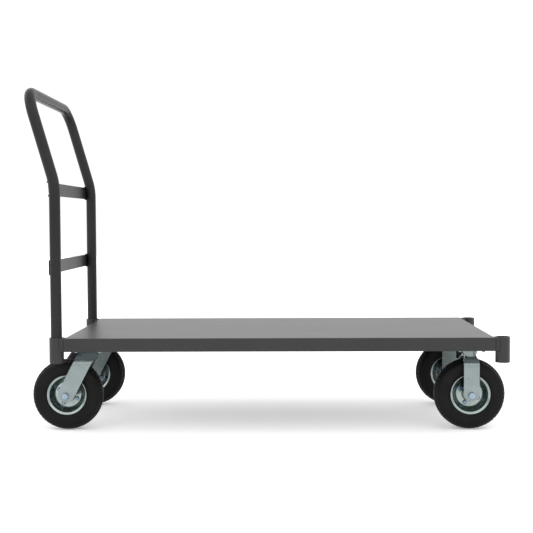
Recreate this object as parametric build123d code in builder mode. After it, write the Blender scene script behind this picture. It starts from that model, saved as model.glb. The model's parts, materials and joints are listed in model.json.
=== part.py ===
import math
import os

from build123d import *

os.makedirs("parts", exist_ok=True)

# ---------------------------------------------------------------- driving dimensions (mm)
DECK_LENGTH = 1219.2
DECK_WIDTH = 609.6
DECK_TOP_Z = 275.0
DECK_THICKNESS = 2.7
FLANGE_HEIGHT = 38.1
DECK_BEND_RADIUS = 3.3
DECK_CORNER_RADIUS = 3.5

SOCKET_X = 633.6
SOCKET_Y = 280.8
SOCKET_OUTER_R = 20.65
SOCKET_INNER_R = 16.5
SOCKET_TOP_Z = 275.6
SOCKET_BOTTOM_Z = 202.6
STOP_THICKNESS = 3.0
STOP_DRAIN_R = 9.0

TUBE_OUTER_R = 15.875
TUBE_INNER_R = 13.77
LEG_BOTTOM_Z = 205.8
LEAN_KNEE_Z = 711.8
LEAN_ANGLE = 16.16
LEAN_BEND_R = 200.0
LOOP_RISE = 274.7
LOOP_CORNER_R = 70.0

BRACE_HEIGHT = 38.1
BRACE_THICKNESS = 3.2
LOWER_BRACE_Z = 474.8
UPPER_BRACE_Z = 698.6
LOWER_BRACE_LENGTH = 567.0
UPPER_BRACE_LENGTH = 553.0
UPPER_BRACE_OFFSET = 5.5
UPPER_BRACE_TILT = 4.3
UPPER_BRACE_SET_BACK = 0.7

CHANNEL_DEPTH = 25.4
CHANNEL_THICKNESS = 3.4
CHANNEL_LENGTH = 600.0
CASTER_CHANNEL_WIDTH = 110.0
MID_CHANNEL_WIDTH = 76.2

SWIVEL_INSET_X = 550.0
RIGID_INSET_X = 551.5
CASTER_Y = 207.8
TRAIL = 66.0
PLATE_X = 101.6
PLATE_Y = 114.3
PLATE_THICKNESS = 6.35
PLATE_CORNER_R = 9.0
BOLT_SPACING_X = 66.7
BOLT_SPACING_Y = 92.1

WHEEL_R = 102.6
TYRE_HALF_WIDTH = 32.0
FORK_THICKNESS = 4.8
FORK_INNER_HALF = 43.2
SWIVEL_LEG_WIDTH = 48.0
RIGID_LEG_WIDTH = 44.45
LEG_END_BELOW_AXLE = 16.0
NECK_OUTER_R = 26.5

KINGPIN_R = 7.94
BALL_R = 3.0
UPPER_RACE_R = 23.0
LOWER_RACE_R = 12.8
CUP_R = 31.0

AXLE_R = 6.35
AXLE_HEAD_AF = 19.05
BEARING_OUTER_R = 17.5
BEARING_BORE_R = 6.42
BEARING_WIDTH = 11.0
HUB_HALF_WIDTH = 35.0
RIM_SHEET = 2.4
RIM_BOLT_CIRCLE_R = 29.0
RIM_BOLT_START = 63.0

# ---------------------------------------------------------------- derived positions
HANDLE_LEAN = math.radians(LEAN_ANGLE)
HANDLE_REACH = SOCKET_X + LOOP_RISE * math.sin(HANDLE_LEAN) + TUBE_OUTER_R
SOCKET_REACH = SOCKET_X + SOCKET_OUTER_R
SHIFT_X = (HANDLE_REACH - SOCKET_REACH) / 2
FLANGE_BOTTOM_Z = DECK_TOP_Z - FLANGE_HEIGHT
DECK_UNDER_Z = DECK_TOP_Z - DECK_THICKNESS
PLATE_TOP_Z = DECK_UNDER_Z - CHANNEL_DEPTH
PLATE_BOTTOM_Z = PLATE_TOP_Z - PLATE_THICKNESS
SWIVEL_X = SHIFT_X - SWIVEL_INSET_X
RIGID_X = SHIFT_X + RIGID_INSET_X
TRAILING_AXLE_X = SWIVEL_X - TRAIL
HANDLE_X = SHIFT_X - SOCKET_X
CROWN_TOP_Z = PLATE_BOTTOM_Z - 9.95
CROWN_UNDER_Z = CROWN_TOP_Z - FORK_THICKNESS
UPPER_BALL_Z = PLATE_BOTTOM_Z - 2.35
LOWER_BALL_Z = CROWN_UNDER_Z - 2.9
RETAINER_TOP_Z = LOWER_BALL_Z - 2.9
RETAINER_BOTTOM_Z = RETAINER_TOP_Z - 5.5
KINGPIN_NUT_HEIGHT = 8.5
FORK_OUTER_HALF = FORK_INNER_HALF + FORK_THICKNESS
FORK_MID_HALF = FORK_INNER_HALF + FORK_THICKNESS / 2
SIDES = (("near", -CASTER_Y), ("far", CASTER_Y))


def plate_bolt_points(x, y):
    points = []
    for sx in (-1, 1):
        for sy in (-1, 1):
            points.append((x + sx * BOLT_SPACING_X / 2, y + sy * BOLT_SPACING_Y / 2))
    return points


def all_caster_bolt_points():
    points = []
    for x in (SWIVEL_X, RIGID_X):
        for y in (-CASTER_Y, CASTER_Y):
            points.extend(plate_bolt_points(x, y))
    return points


def socket_points():
    points = []
    for sx in (-1, 1):
        for sy in (-1, 1):
            points.append((SHIFT_X + sx * SOCKET_X, sy * SOCKET_Y))
    return points


# ---------------------------------------------------------------- deck sheet
with BuildPart() as deck_pan:
    with BuildSketch(Plane.XY.offset(FLANGE_BOTTOM_Z)):
        with Locations((SHIFT_X, 0)):
            Rectangle(DECK_LENGTH, DECK_WIDTH)
    extrude(amount=FLANGE_HEIGHT)
    fillet(deck_pan.edges().filter_by(Axis.Z), radius=DECK_CORNER_RADIUS)
    fillet(deck_pan.faces().sort_by(Axis.Z)[-1].edges(), radius=DECK_BEND_RADIUS)
    offset(amount=-DECK_THICKNESS, openings=deck_pan.faces().sort_by(Axis.Z)[0])
deck_pan.part.label = "deck_pan"
export_step(deck_pan.part, "parts/deck_pan.step")


# ---------------------------------------------------------------- cross channels under the deck
def make_channel(x, width, bolt_points):
    with BuildPart() as channel:
        with BuildSketch(Plane.XZ):
            with Locations((x, DECK_UNDER_Z - CHANNEL_DEPTH / 2)):
                Rectangle(width, CHANNEL_DEPTH)
            with Locations((x, DECK_UNDER_Z - CHANNEL_DEPTH / 2 + CHANNEL_THICKNESS)):
                Rectangle(width - 2 * CHANNEL_THICKNESS, CHANNEL_DEPTH, mode=Mode.SUBTRACT)
        extrude(amount=CHANNEL_LENGTH / 2, both=True)
        lower_edges = channel.edges().filter_by(Axis.Y).group_by(Axis.Z)[0]
        fillet(lower_edges, radius=3.0)
        if bolt_points:
            with BuildSketch(Plane.XY.offset(PLATE_TOP_Z - 1)):
                with Locations(*bolt_points):
                    Circle(5.2)
            extrude(amount=CHANNEL_THICKNESS + 2, mode=Mode.SUBTRACT)
    return channel


swivel_bolts = plate_bolt_points(SWIVEL_X, -CASTER_Y) + plate_bolt_points(SWIVEL_X, CASTER_Y)
rigid_bolts = plate_bolt_points(RIGID_X, -CASTER_Y) + plate_bolt_points(RIGID_X, CASTER_Y)

channel_swivel_end = make_channel(SWIVEL_X, CASTER_CHANNEL_WIDTH, swivel_bolts)
channel_swivel_end.part.label = "channel_swivel_end"
export_step(channel_swivel_end.part, "parts/channel_swivel_end.step")

channel_rigid_end = make_channel(RIGID_X, CASTER_CHANNEL_WIDTH, rigid_bolts)
channel_rigid_end.part.label = "channel_rigid_end"
export_step(channel_rigid_end.part, "parts/channel_rigid_end.step")

channel_middle = make_channel(SHIFT_X, MID_CHANNEL_WIDTH, [])
channel_middle.part.label = "channel_middle"
export_step(channel_middle.part, "parts/channel_middle.step")


# ---------------------------------------------------------------- corner sockets
STOP_TOP_Z = SOCKET_BOTTOM_Z + STOP_THICKNESS


def make_socket(sx, sy):
    with BuildPart() as socket:
        with BuildSketch(Plane.XY.offset(STOP_TOP_Z)):
            with Locations((SHIFT_X + sx * SOCKET_X, sy * SOCKET_Y)):
                Circle(SOCKET_OUTER_R)
                Circle(SOCKET_INNER_R, mode=Mode.SUBTRACT)
        extrude(amount=SOCKET_TOP_Z - STOP_TOP_Z)
        chamfer(socket.faces().sort_by(Axis.Z)[-1].edges(), length=0.6)
    return socket


for end_name, sx in (("handle", -1), ("free", 1)):
    for side_name, sy in (("near", -1), ("far", 1)):
        socket = make_socket(sx, sy)
        socket.part.label = f"socket_{end_name}_{side_name}"
        export_step(socket.part, f"parts/socket_{end_name}_{side_name}.step")

# A ring under each socket carries the tube and lets water out.
with BuildPart() as socket_stops:
    with BuildSketch(Plane.XY.offset(SOCKET_BOTTOM_Z)):
        with Locations(*socket_points()):
            Circle(SOCKET_OUTER_R)
            Circle(STOP_DRAIN_R, mode=Mode.SUBTRACT)
    extrude(amount=STOP_THICKNESS)
    foot_edges = socket_stops.edges().filter_by(GeomType.CIRCLE).group_by(Axis.Z)[0]
    chamfer(foot_edges, length=0.6)
socket_stops.part.label = "socket_stops"
export_step(socket_stops.part, "parts/socket_stops.step")

# Fillet beads that bridge each socket to the end flange of the deck.
BEAD_CENTRE_OUT = 6.0
BEAD_CENTRE_SIDE = 15.2
BEAD_HALF_OUT = 9.5
BEAD_HALF_SIDE = 6.3
BEAD_BOTTOM_Z = FLANGE_BOTTOM_Z + 0.8
BEAD_TOP_Z = DECK_TOP_Z - 1.2
BEAD_GAP = 0.03
with BuildPart() as socket_welds:
    with BuildSketch(Plane.XY.offset(BEAD_BOTTOM_Z)):
        for sx in (-1, 1):
            for sy in (-1, 1):
                for side in (-1, 1):
                    bead_x = SHIFT_X + sx * (DECK_LENGTH / 2 + BEAD_CENTRE_OUT)
                    bead_y = sy * SOCKET_Y + side * BEAD_CENTRE_SIDE
                    with Locations((bead_x, bead_y)):
                        Ellipse(BEAD_HALF_OUT, BEAD_HALF_SIDE)
        with Locations(*socket_points()):
            Circle(SOCKET_OUTER_R + BEAD_GAP, mode=Mode.SUBTRACT)
        with Locations((SHIFT_X, 0)):
            Rectangle(DECK_LENGTH + 2 * BEAD_GAP, 2 * DECK_WIDTH, mode=Mode.SUBTRACT)
    extrude(amount=BEAD_TOP_Z - BEAD_BOTTOM_Z)
    chamfer(socket_welds.faces().filter_by(Axis.Z).edges(), length=0.5)
socket_welds.part.label = "socket_welds"
export_step(socket_welds.part, "parts/socket_welds.step")


# ---------------------------------------------------------------- handle
def lean_point(along, y):
    x = HANDLE_X - along * math.sin(HANDLE_LEAN)
    z = LEAN_KNEE_Z + along * math.cos(HANDLE_LEAN)
    return (x, y, z)


LEAN_TANGENT = LEAN_BEND_R * math.tan(HANDLE_LEAN / 2)
LEAN_START_Z = LEAN_KNEE_Z - LEAN_TANGENT
CORNER_HALF = LOOP_CORNER_R * (1 - math.cos(math.radians(45)))
half_lean = HANDLE_LEAN / 2
LEAN_MID_X = HANDLE_X - LEAN_BEND_R * (1 - math.cos(half_lean))
LEAN_MID_Z = LEAN_START_Z + LEAN_BEND_R * math.sin(half_lean)


def build_loop_path():
    with BuildLine() as loop_path:
        Line((HANDLE_X, -SOCKET_Y, LEG_BOTTOM_Z), (HANDLE_X, -SOCKET_Y, LEAN_START_Z))
        ThreePointArc(
            (HANDLE_X, -SOCKET_Y, LEAN_START_Z),
            (LEAN_MID_X, -SOCKET_Y, LEAN_MID_Z),
            lean_point(LEAN_TANGENT, -SOCKET_Y),
        )
        Line(lean_point(LEAN_TANGENT, -SOCKET_Y), lean_point(LOOP_RISE - LOOP_CORNER_R, -SOCKET_Y))
        ThreePointArc(
            lean_point(LOOP_RISE - LOOP_CORNER_R, -SOCKET_Y),
            lean_point(LOOP_RISE - CORNER_HALF, -SOCKET_Y + CORNER_HALF),
            lean_point(LOOP_RISE, -SOCKET_Y + LOOP_CORNER_R),
        )
        Line(
            lean_point(LOOP_RISE, -SOCKET_Y + LOOP_CORNER_R),
            lean_point(LOOP_RISE, SOCKET_Y - LOOP_CORNER_R),
        )
        ThreePointArc(
            lean_point(LOOP_RISE, SOCKET_Y - LOOP_CORNER_R),
            lean_point(LOOP_RISE - CORNER_HALF, SOCKET_Y - CORNER_HALF),
            lean_point(LOOP_RISE - LOOP_CORNER_R, SOCKET_Y),
        )
        Line(lean_point(LOOP_RISE - LOOP_CORNER_R, SOCKET_Y), lean_point(LEAN_TANGENT, SOCKET_Y))
        ThreePointArc(
            lean_point(LEAN_TANGENT, SOCKET_Y),
            (LEAN_MID_X, SOCKET_Y, LEAN_MID_Z),
            (HANDLE_X, SOCKET_Y, LEAN_START_Z),
        )
        Line((HANDLE_X, SOCKET_Y, LEAN_START_Z), (HANDLE_X, SOCKET_Y, LEG_BOTTOM_Z))
    return loop_path


loop_path = build_loop_path()

with BuildPart() as handle_outer:
    with BuildSketch(Plane(origin=(HANDLE_X, -SOCKET_Y, LEG_BOTTOM_Z), z_dir=(0, 0, 1))):
        Circle(TUBE_OUTER_R)
    sweep(path=loop_path.wires()[0])

with BuildPart() as handle_tube:
    add(handle_outer.part)
    with BuildSketch(Plane(origin=(HANDLE_X, -SOCKET_Y, LEG_BOTTOM_Z), z_dir=(0, 0, 1))):
        Circle(TUBE_INNER_R)
    sweep(path=loop_path.wires()[0], mode=Mode.SUBTRACT)
handle_tube.part.label = "handle_tube"
export_step(handle_tube.part, "parts/handle_tube.step")

BRACE_X = HANDLE_X - TUBE_OUTER_R - BRACE_THICKNESS / 2

with BuildPart() as brace_lower:
    with Locations((BRACE_X, 0, LOWER_BRACE_Z)):
        Box(BRACE_THICKNESS, LOWER_BRACE_LENGTH, BRACE_HEIGHT)
    chamfer(brace_lower.edges().filter_by(Axis.Y), length=0.5)
brace_lower.part.label = "brace_lower"
export_step(brace_lower.part, "parts/brace_lower.step")

upper_brace_place = (BRACE_X - UPPER_BRACE_SET_BACK, UPPER_BRACE_OFFSET, UPPER_BRACE_Z)
with BuildPart() as brace_upper:
    with Locations(Location(upper_brace_place, (0, -UPPER_BRACE_TILT, 0))):
        Box(BRACE_THICKNESS, UPPER_BRACE_LENGTH, BRACE_HEIGHT)
    add(handle_outer.part, mode=Mode.SUBTRACT)
brace_upper.part.label = "brace_upper"
export_step(brace_upper.part, "parts/brace_upper.step")

BEAD_LENGTH = 15.0
BEAD_R = 2.6
BEAD_BACK = TUBE_OUTER_R + 0.6
BEAD_ABOVE_BRACE = 0.4
UPPER_BEAD_LEAN = 3.0
with BuildPart() as brace_welds:
    for brace_z, lean in ((LOWER_BRACE_Z, 0.0), (UPPER_BRACE_Z, UPPER_BEAD_LEAN)):
        for sy in (-1, 1):
            for sz in (-1, 1):
                bead_x = HANDLE_X - BEAD_BACK - lean * (1 + sz) / 2
                bead_z = brace_z + sz * (BRACE_HEIGHT / 2 + BEAD_ABOVE_BRACE)
                with Locations(Location((bead_x, sy * (SOCKET_Y - 7.0), bead_z), (90, 0, 0))):
                    Cylinder(radius=BEAD_R, height=BEAD_LENGTH)
    add(handle_outer.part, mode=Mode.SUBTRACT)
    add(brace_lower.part, mode=Mode.SUBTRACT)
    add(brace_upper.part, mode=Mode.SUBTRACT)
brace_welds.part.label = "brace_welds"
export_step(brace_welds.part, "parts/brace_welds.step")


# ---------------------------------------------------------------- swivel caster top plates
def make_swivel_plate(y):
    with BuildPart() as plate:
        with BuildSketch(Plane.XY.offset(PLATE_BOTTOM_Z)):
            with Locations((SWIVEL_X, y)):
                RectangleRounded(PLATE_X, PLATE_Y, PLATE_CORNER_R)
                Circle(KINGPIN_R + 0.05, mode=Mode.SUBTRACT)
            with Locations(*plate_bolt_points(SWIVEL_X, y)):
                Circle(5.1, mode=Mode.SUBTRACT)
        extrude(amount=PLATE_THICKNESS)
        with BuildSketch(Plane.XY.offset(PLATE_TOP_Z - 3.7)):
            with Locations((SWIVEL_X, y)):
                Circle(12.1)
        extrude(amount=5, mode=Mode.SUBTRACT)
        with Locations((SWIVEL_X, y, UPPER_BALL_Z)):
            Torus(UPPER_RACE_R, BALL_R + 0.4, mode=Mode.SUBTRACT)
    return plate


for side_name, y in SIDES:
    swivel_plate = make_swivel_plate(y)
    swivel_plate.part.label = f"swivel_plate_{side_name}"
    export_step(swivel_plate.part, f"parts/swivel_plate_{side_name}.step")

KINGPIN_BOTTOM_Z = RETAINER_BOTTOM_Z - KINGPIN_NUT_HEIGHT - 2.0
with BuildPart() as kingpins:
    for y in (-CASTER_Y, CASTER_Y):
        with BuildSketch(Plane.XY.offset(KINGPIN_BOTTOM_Z)):
            with Locations((SWIVEL_X, y)):
                Circle(KINGPIN_R)
        extrude(amount=PLATE_TOP_Z - 0.2 - KINGPIN_BOTTOM_Z)
        with BuildSketch(Plane.XY.offset(PLATE_TOP_Z - 3.7)):
            with Locations((SWIVEL_X, y)):
                Circle(12.0)
        extrude(amount=3.5)
kingpins.part.label = "kingpins"
export_step(kingpins.part, "parts/kingpins.step")

with BuildPart() as kingpin_retainers:
    for y in (-CASTER_Y, CASTER_Y):
        with BuildSketch(Plane.XY.offset(RETAINER_BOTTOM_Z)):
            with Locations((SWIVEL_X, y)):
                Circle(17.0)
                Circle(KINGPIN_R + 0.05, mode=Mode.SUBTRACT)
        extrude(amount=RETAINER_TOP_Z - RETAINER_BOTTOM_Z)
    with Locations((SWIVEL_X, -CASTER_Y, LOWER_BALL_Z), (SWIVEL_X, CASTER_Y, LOWER_BALL_Z)):
        Torus(LOWER_RACE_R, BALL_R + 0.4, mode=Mode.SUBTRACT)
kingpin_retainers.part.label = "kingpin_retainers"
export_step(kingpin_retainers.part, "parts/kingpin_retainers.step")

with BuildPart() as kingpin_nuts:
    with BuildSketch(Plane.XY.offset(RETAINER_BOTTOM_Z - KINGPIN_NUT_HEIGHT)):
        with Locations((SWIVEL_X, -CASTER_Y), (SWIVEL_X, CASTER_Y)):
            RegularPolygon(11.9, 6, major_radius=False)
            Circle(KINGPIN_R + 0.05, mode=Mode.SUBTRACT)
    extrude(amount=KINGPIN_NUT_HEIGHT)
kingpin_nuts.part.label = "kingpin_nuts"
export_step(kingpin_nuts.part, "parts/kingpin_nuts.step")


# ---------------------------------------------------------------- swivel forks
LEG_CUT_Z = WHEEL_R - 40
SWIVEL_SHOULDER_Z = 201.0
CROWN_FLAT_HALF = 25.0
SHOULDER_R = 34.0
CROWN_R = 12.0
LEG_REACH = 112.0


def make_swivel_fork(y):
    crown_mid_z = CROWN_TOP_Z - FORK_THICKNESS / 2
    rake = math.atan2(TRAIL, CROWN_TOP_Z - WHEEL_R)
    along = (math.sin(rake), math.cos(rake))
    across = (-math.cos(rake), math.sin(rake))
    half = SWIVEL_LEG_WIDTH / 2
    end_x = -TRAIL + (half - LEG_END_BELOW_AXLE) * along[0]
    end_z = WHEEL_R + (half - LEG_END_BELOW_AXLE) * along[1]
    left_low = (end_x + half * across[0], end_z + half * across[1])
    right_low = (end_x - half * across[0], end_z - half * across[1])
    right_up = (right_low[0] + LEG_REACH * along[0], right_low[1] + LEG_REACH * along[1])
    left_up = (left_low[0] + LEG_REACH * along[0], left_low[1] + LEG_REACH * along[1])
    with BuildPart() as fork:
        with BuildSketch(Plane(origin=(SWIVEL_X, y, 0), x_dir=(0, 1, 0), z_dir=(1, 0, 0))):
            with BuildLine():
                FilletPolyline(
                    (-FORK_MID_HALF, LEG_CUT_Z),
                    (-FORK_MID_HALF, SWIVEL_SHOULDER_Z),
                    (-CROWN_FLAT_HALF, crown_mid_z),
                    (CROWN_FLAT_HALF, crown_mid_z),
                    (FORK_MID_HALF, SWIVEL_SHOULDER_Z),
                    (FORK_MID_HALF, LEG_CUT_Z),
                    radius=(SHOULDER_R, CROWN_R, CROWN_R, SHOULDER_R),
                )
            trace(line_width=FORK_THICKNESS)
        extrude(amount=130, both=True)
        with BuildSketch(Plane(origin=(SWIVEL_X, y, 0), x_dir=(1, 0, 0), z_dir=(0, -1, 0))):
            with BuildLine():
                Polyline(
                    left_low,
                    left_up,
                    (-CUP_R, CROWN_TOP_Z - 6),
                    (-CUP_R, CROWN_TOP_Z + 5),
                    (CUP_R, CROWN_TOP_Z + 5),
                    (CUP_R, CROWN_TOP_Z - 8),
                    right_up,
                    right_low,
                    close=True,
                )
            make_face()
            with Locations((end_x, end_z)):
                Circle(half)
        extrude(amount=100, both=True, mode=Mode.INTERSECT)
        with Locations(Location((TRAILING_AXLE_X, y, WHEEL_R), (90, 0, 0))):
            Cylinder(radius=AXLE_R + 0.45, height=160, mode=Mode.SUBTRACT)
        with Locations((SWIVEL_X, y, CROWN_TOP_Z)):
            Cylinder(radius=KINGPIN_R + 0.5, height=40, mode=Mode.SUBTRACT)
        with Locations((SWIVEL_X, y, LOWER_BALL_Z)):
            Torus(LOWER_RACE_R, BALL_R + 0.05, mode=Mode.SUBTRACT)
    return fork


for side_name, y in SIDES:
    swivel_fork = make_swivel_fork(y)
    swivel_fork.part.label = f"swivel_fork_{side_name}"
    export_step(swivel_fork.part, f"parts/swivel_fork_{side_name}.step")


def make_swivel_cup(y):
    cup_top = PLATE_BOTTOM_Z - 1.0
    race_z = PLATE_BOTTOM_Z - 4.65
    with BuildPart() as cup:
        with BuildSketch(Plane(origin=(SWIVEL_X, y, 0), x_dir=(1, 0, 0), z_dir=(0, -1, 0))):
            with BuildLine():
                Polyline(
                    (10.0, CROWN_TOP_Z),
                    (24.0, CROWN_TOP_Z),
                    (29.2, CROWN_TOP_Z + 1.6),
                    (CUP_R, CROWN_TOP_Z + 4.2),
                    (CUP_R, cup_top),
                    (27.3, cup_top),
                    (27.3, race_z),
                    (10.0, race_z),
                    close=True,
                )
            make_face()
        revolve(axis=Axis((SWIVEL_X, y, 0), (0, 0, 1)))
        with Locations((SWIVEL_X, y, UPPER_BALL_Z)):
            Torus(UPPER_RACE_R, BALL_R + 0.05, mode=Mode.SUBTRACT)
    return cup


for side_name, y in SIDES:
    swivel_cup = make_swivel_cup(y)
    swivel_cup.part.label = f"swivel_cup_{side_name}"
    export_step(swivel_cup.part, f"parts/swivel_cup_{side_name}.step")


def make_balls(y):
    with BuildPart() as balls:
        with Locations((SWIVEL_X, y, UPPER_BALL_Z)):
            with PolarLocations(UPPER_RACE_R, 22):
                Sphere(BALL_R)
        with Locations((SWIVEL_X, y, LOWER_BALL_Z)):
            with PolarLocations(LOWER_RACE_R, 12):
                Sphere(BALL_R)
    return balls


for side_name, y in SIDES:
    swivel_balls = make_balls(y)
    swivel_balls.part.label = f"swivel_balls_{side_name}"
    export_step(swivel_balls.part, f"parts/swivel_balls_{side_name}.step")


# ---------------------------------------------------------------- rigid forks with their plates
RIGID_SHOULDER_Z = 199.0
SHOULDER_END_HALF = 14.0
SHOULDER_END_Z = 216.2
RIGID_SHOULDER_R = 24.0
WAIST_HALF = 17.0
NECK_TOP_HALF = 21.5
WAIST_LOW_Z = 211.5
WAIST_HIGH_Z = 215.5
NECK_WIDE_Z = 226.0
LEG_TOP_Z = 202.0
NECK_BOTTOM_Z = 209.0


def make_rigid_fork(y):
    half = RIGID_LEG_WIDTH / 2
    end_z = WHEEL_R + half - LEG_END_BELOW_AXLE
    with BuildPart() as fork:
        for side in (-1, 1):
            with BuildSketch(Plane(origin=(RIGID_X, y, 0), x_dir=(0, 1, 0), z_dir=(1, 0, 0))):
                with BuildLine():
                    FilletPolyline(
                        (side * FORK_MID_HALF, LEG_CUT_Z),
                        (side * FORK_MID_HALF, RIGID_SHOULDER_Z),
                        (side * SHOULDER_END_HALF, SHOULDER_END_Z),
                        radius=RIGID_SHOULDER_R,
                    )
                trace(line_width=FORK_THICKNESS)
            extrude(amount=60, both=True)
        with BuildSketch(Plane.XY.offset(NECK_BOTTOM_Z)):
            with Locations((RIGID_X, y)):
                Circle(NECK_OUTER_R)
                Circle(NECK_OUTER_R - FORK_THICKNESS, mode=Mode.SUBTRACT)
        extrude(amount=PLATE_BOTTOM_Z + 1 - NECK_BOTTOM_Z)
        with BuildSketch(Plane(origin=(RIGID_X, y, 0), x_dir=(1, 0, 0), z_dir=(0, -1, 0))):
            with BuildLine():
                Polyline(
                    (-half, end_z),
                    (-half, LEG_TOP_Z),
                    (-WAIST_HALF, WAIST_LOW_Z),
                    (-WAIST_HALF, WAIST_HIGH_Z),
                    (-NECK_TOP_HALF, NECK_WIDE_Z),
                    (-NECK_TOP_HALF, PLATE_BOTTOM_Z + 1),
                    (NECK_TOP_HALF, PLATE_BOTTOM_Z + 1),
                    (NECK_TOP_HALF, NECK_WIDE_Z),
                    (WAIST_HALF, WAIST_HIGH_Z),
                    (WAIST_HALF, WAIST_LOW_Z),
                    (half, LEG_TOP_Z),
                    (half, end_z),
                    close=True,
                )
            make_face()
            with Locations((0, end_z)):
                Circle(half)
        extrude(amount=100, both=True, mode=Mode.INTERSECT)
        with BuildSketch(Plane.XY.offset(PLATE_BOTTOM_Z)):
            with Locations((RIGID_X, y)):
                RectangleRounded(PLATE_X, PLATE_Y, PLATE_CORNER_R)
            with Locations(*plate_bolt_points(RIGID_X, y)):
                Circle(5.1, mode=Mode.SUBTRACT)
        extrude(amount=PLATE_THICKNESS)
        with Locations(Location((RIGID_X, y, WHEEL_R), (90, 0, 0))):
            Cylinder(radius=AXLE_R + 0.45, height=160, mode=Mode.SUBTRACT)
    return fork


for side_name, y in SIDES:
    rigid_fork = make_rigid_fork(y)
    rigid_fork.part.label = f"rigid_fork_{side_name}"
    export_step(rigid_fork.part, f"parts/rigid_fork_{side_name}.step")

# ---------------------------------------------------------------- caster mounting fasteners
CHANNEL_FLOOR_Z = PLATE_TOP_Z + CHANNEL_THICKNESS
WASHER_THICKNESS = 1.6
NUT_HEIGHT = 8.3
with BuildPart() as caster_bolts:
    with BuildSketch(Plane.XY.offset(PLATE_BOTTOM_Z - WASHER_THICKNESS - NUT_HEIGHT - 2.4)):
        with Locations(*all_caster_bolt_points()):
            Circle(4.76)
    extrude(amount=CHANNEL_FLOOR_Z + 1 - (PLATE_BOTTOM_Z - WASHER_THICKNESS - NUT_HEIGHT - 2.4))
    with BuildSketch(Plane.XY.offset(CHANNEL_FLOOR_Z)):
        with Locations(*all_caster_bolt_points()):
            RegularPolygon(7.15, 6, major_radius=False)
    extrude(amount=6.2)
caster_bolts.part.label = "caster_bolts"
export_step(caster_bolts.part, "parts/caster_bolts.step")

with BuildPart() as caster_washers:
    with BuildSketch(Plane.XY.offset(PLATE_BOTTOM_Z - WASHER_THICKNESS)):
        with Locations(*all_caster_bolt_points()):
            Circle(9.5)
            Circle(5.1, mode=Mode.SUBTRACT)
    extrude(amount=WASHER_THICKNESS)
caster_washers.part.label = "caster_washers"
export_step(caster_washers.part, "parts/caster_washers.step")

with BuildPart() as caster_nuts:
    with BuildSketch(Plane.XY.offset(PLATE_BOTTOM_Z - WASHER_THICKNESS - NUT_HEIGHT)):
        with Locations(*all_caster_bolt_points()):
            RegularPolygon(7.15, 6, major_radius=False)
            Circle(4.81, mode=Mode.SUBTRACT)
    extrude(amount=NUT_HEIGHT)
caster_nuts.part.label = "caster_nuts"
export_step(caster_nuts.part, "parts/caster_nuts.step")


# ---------------------------------------------------------------- axle bolts, nuts and spacers
def cross_plane(x, y):
    return Plane(origin=(x, y, WHEEL_R), x_dir=(1, 0, 0), z_dir=(0, 1, 0))


def make_axle_bolts(places):
    with BuildPart() as bolts:
        for x, y in places:
            with BuildSketch(cross_plane(x, y - FORK_OUTER_HALF)):
                Circle(AXLE_R)
            extrude(amount=2 * FORK_OUTER_HALF + 13.0)
            with BuildSketch(cross_plane(x, y - FORK_OUTER_HALF - 8.0)):
                RegularPolygon(AXLE_HEAD_AF / 2, 6, major_radius=False, rotation=12)
            extrude(amount=8.0)
    return bolts


def make_axle_nuts(places):
    with BuildPart() as nuts:
        for x, y in places:
            with BuildSketch(cross_plane(x, y + FORK_OUTER_HALF)):
                RegularPolygon(AXLE_HEAD_AF / 2, 6, major_radius=False, rotation=5)
                Circle(AXLE_R + 0.05, mode=Mode.SUBTRACT)
            extrude(amount=10.9)
    return nuts


def make_axle_spacers(places):
    with BuildPart() as spacers:
        for x, y in places:
            for start in (-FORK_INNER_HALF, HUB_HALF_WIDTH + 0.3):
                with BuildSketch(cross_plane(x, y + start)):
                    Circle(10.5)
                    Circle(AXLE_R + 0.45, mode=Mode.SUBTRACT)
                extrude(amount=FORK_INNER_HALF - HUB_HALF_WIDTH - 0.3)
    return spacers


rigid_places = [(RIGID_X, -CASTER_Y), (RIGID_X, CASTER_Y)]

rigid_axle_bolts = make_axle_bolts(rigid_places)
rigid_axle_bolts.part.label = "rigid_axle_bolts"
export_step(rigid_axle_bolts.part, "parts/rigid_axle_bolts.step")

rigid_axle_nuts = make_axle_nuts(rigid_places)
rigid_axle_nuts.part.label = "rigid_axle_nuts"
export_step(rigid_axle_nuts.part, "parts/rigid_axle_nuts.step")

rigid_axle_spacers = make_axle_spacers(rigid_places)
rigid_axle_spacers.part.label = "rigid_axle_spacers"
export_step(rigid_axle_spacers.part, "parts/rigid_axle_spacers.step")

for side_name, y in SIDES:
    trailing_place = [(TRAILING_AXLE_X, y)]
    swivel_axle_bolt = make_axle_bolts(trailing_place)
    swivel_axle_bolt.part.label = f"swivel_axle_bolt_{side_name}"
    export_step(swivel_axle_bolt.part, f"parts/swivel_axle_bolt_{side_name}.step")
    swivel_axle_nut = make_axle_nuts(trailing_place)
    swivel_axle_nut.part.label = f"swivel_axle_nut_{side_name}"
    export_step(swivel_axle_nut.part, f"parts/swivel_axle_nut_{side_name}.step")
    swivel_axle_spacers = make_axle_spacers(trailing_place)
    swivel_axle_spacers.part.label = f"swivel_axle_spacers_{side_name}"
    export_step(swivel_axle_spacers.part, f"parts/swivel_axle_spacers_{side_name}.step")


# ---------------------------------------------------------------- wheels
def wheel_plane(x, y):
    return Plane(origin=(x, y, WHEEL_R), x_dir=(1, 0, 0), z_dir=(0, 0, 1))


def wheel_axis(x, y):
    return Axis((x, y, WHEEL_R), (0, 1, 0))


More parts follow.
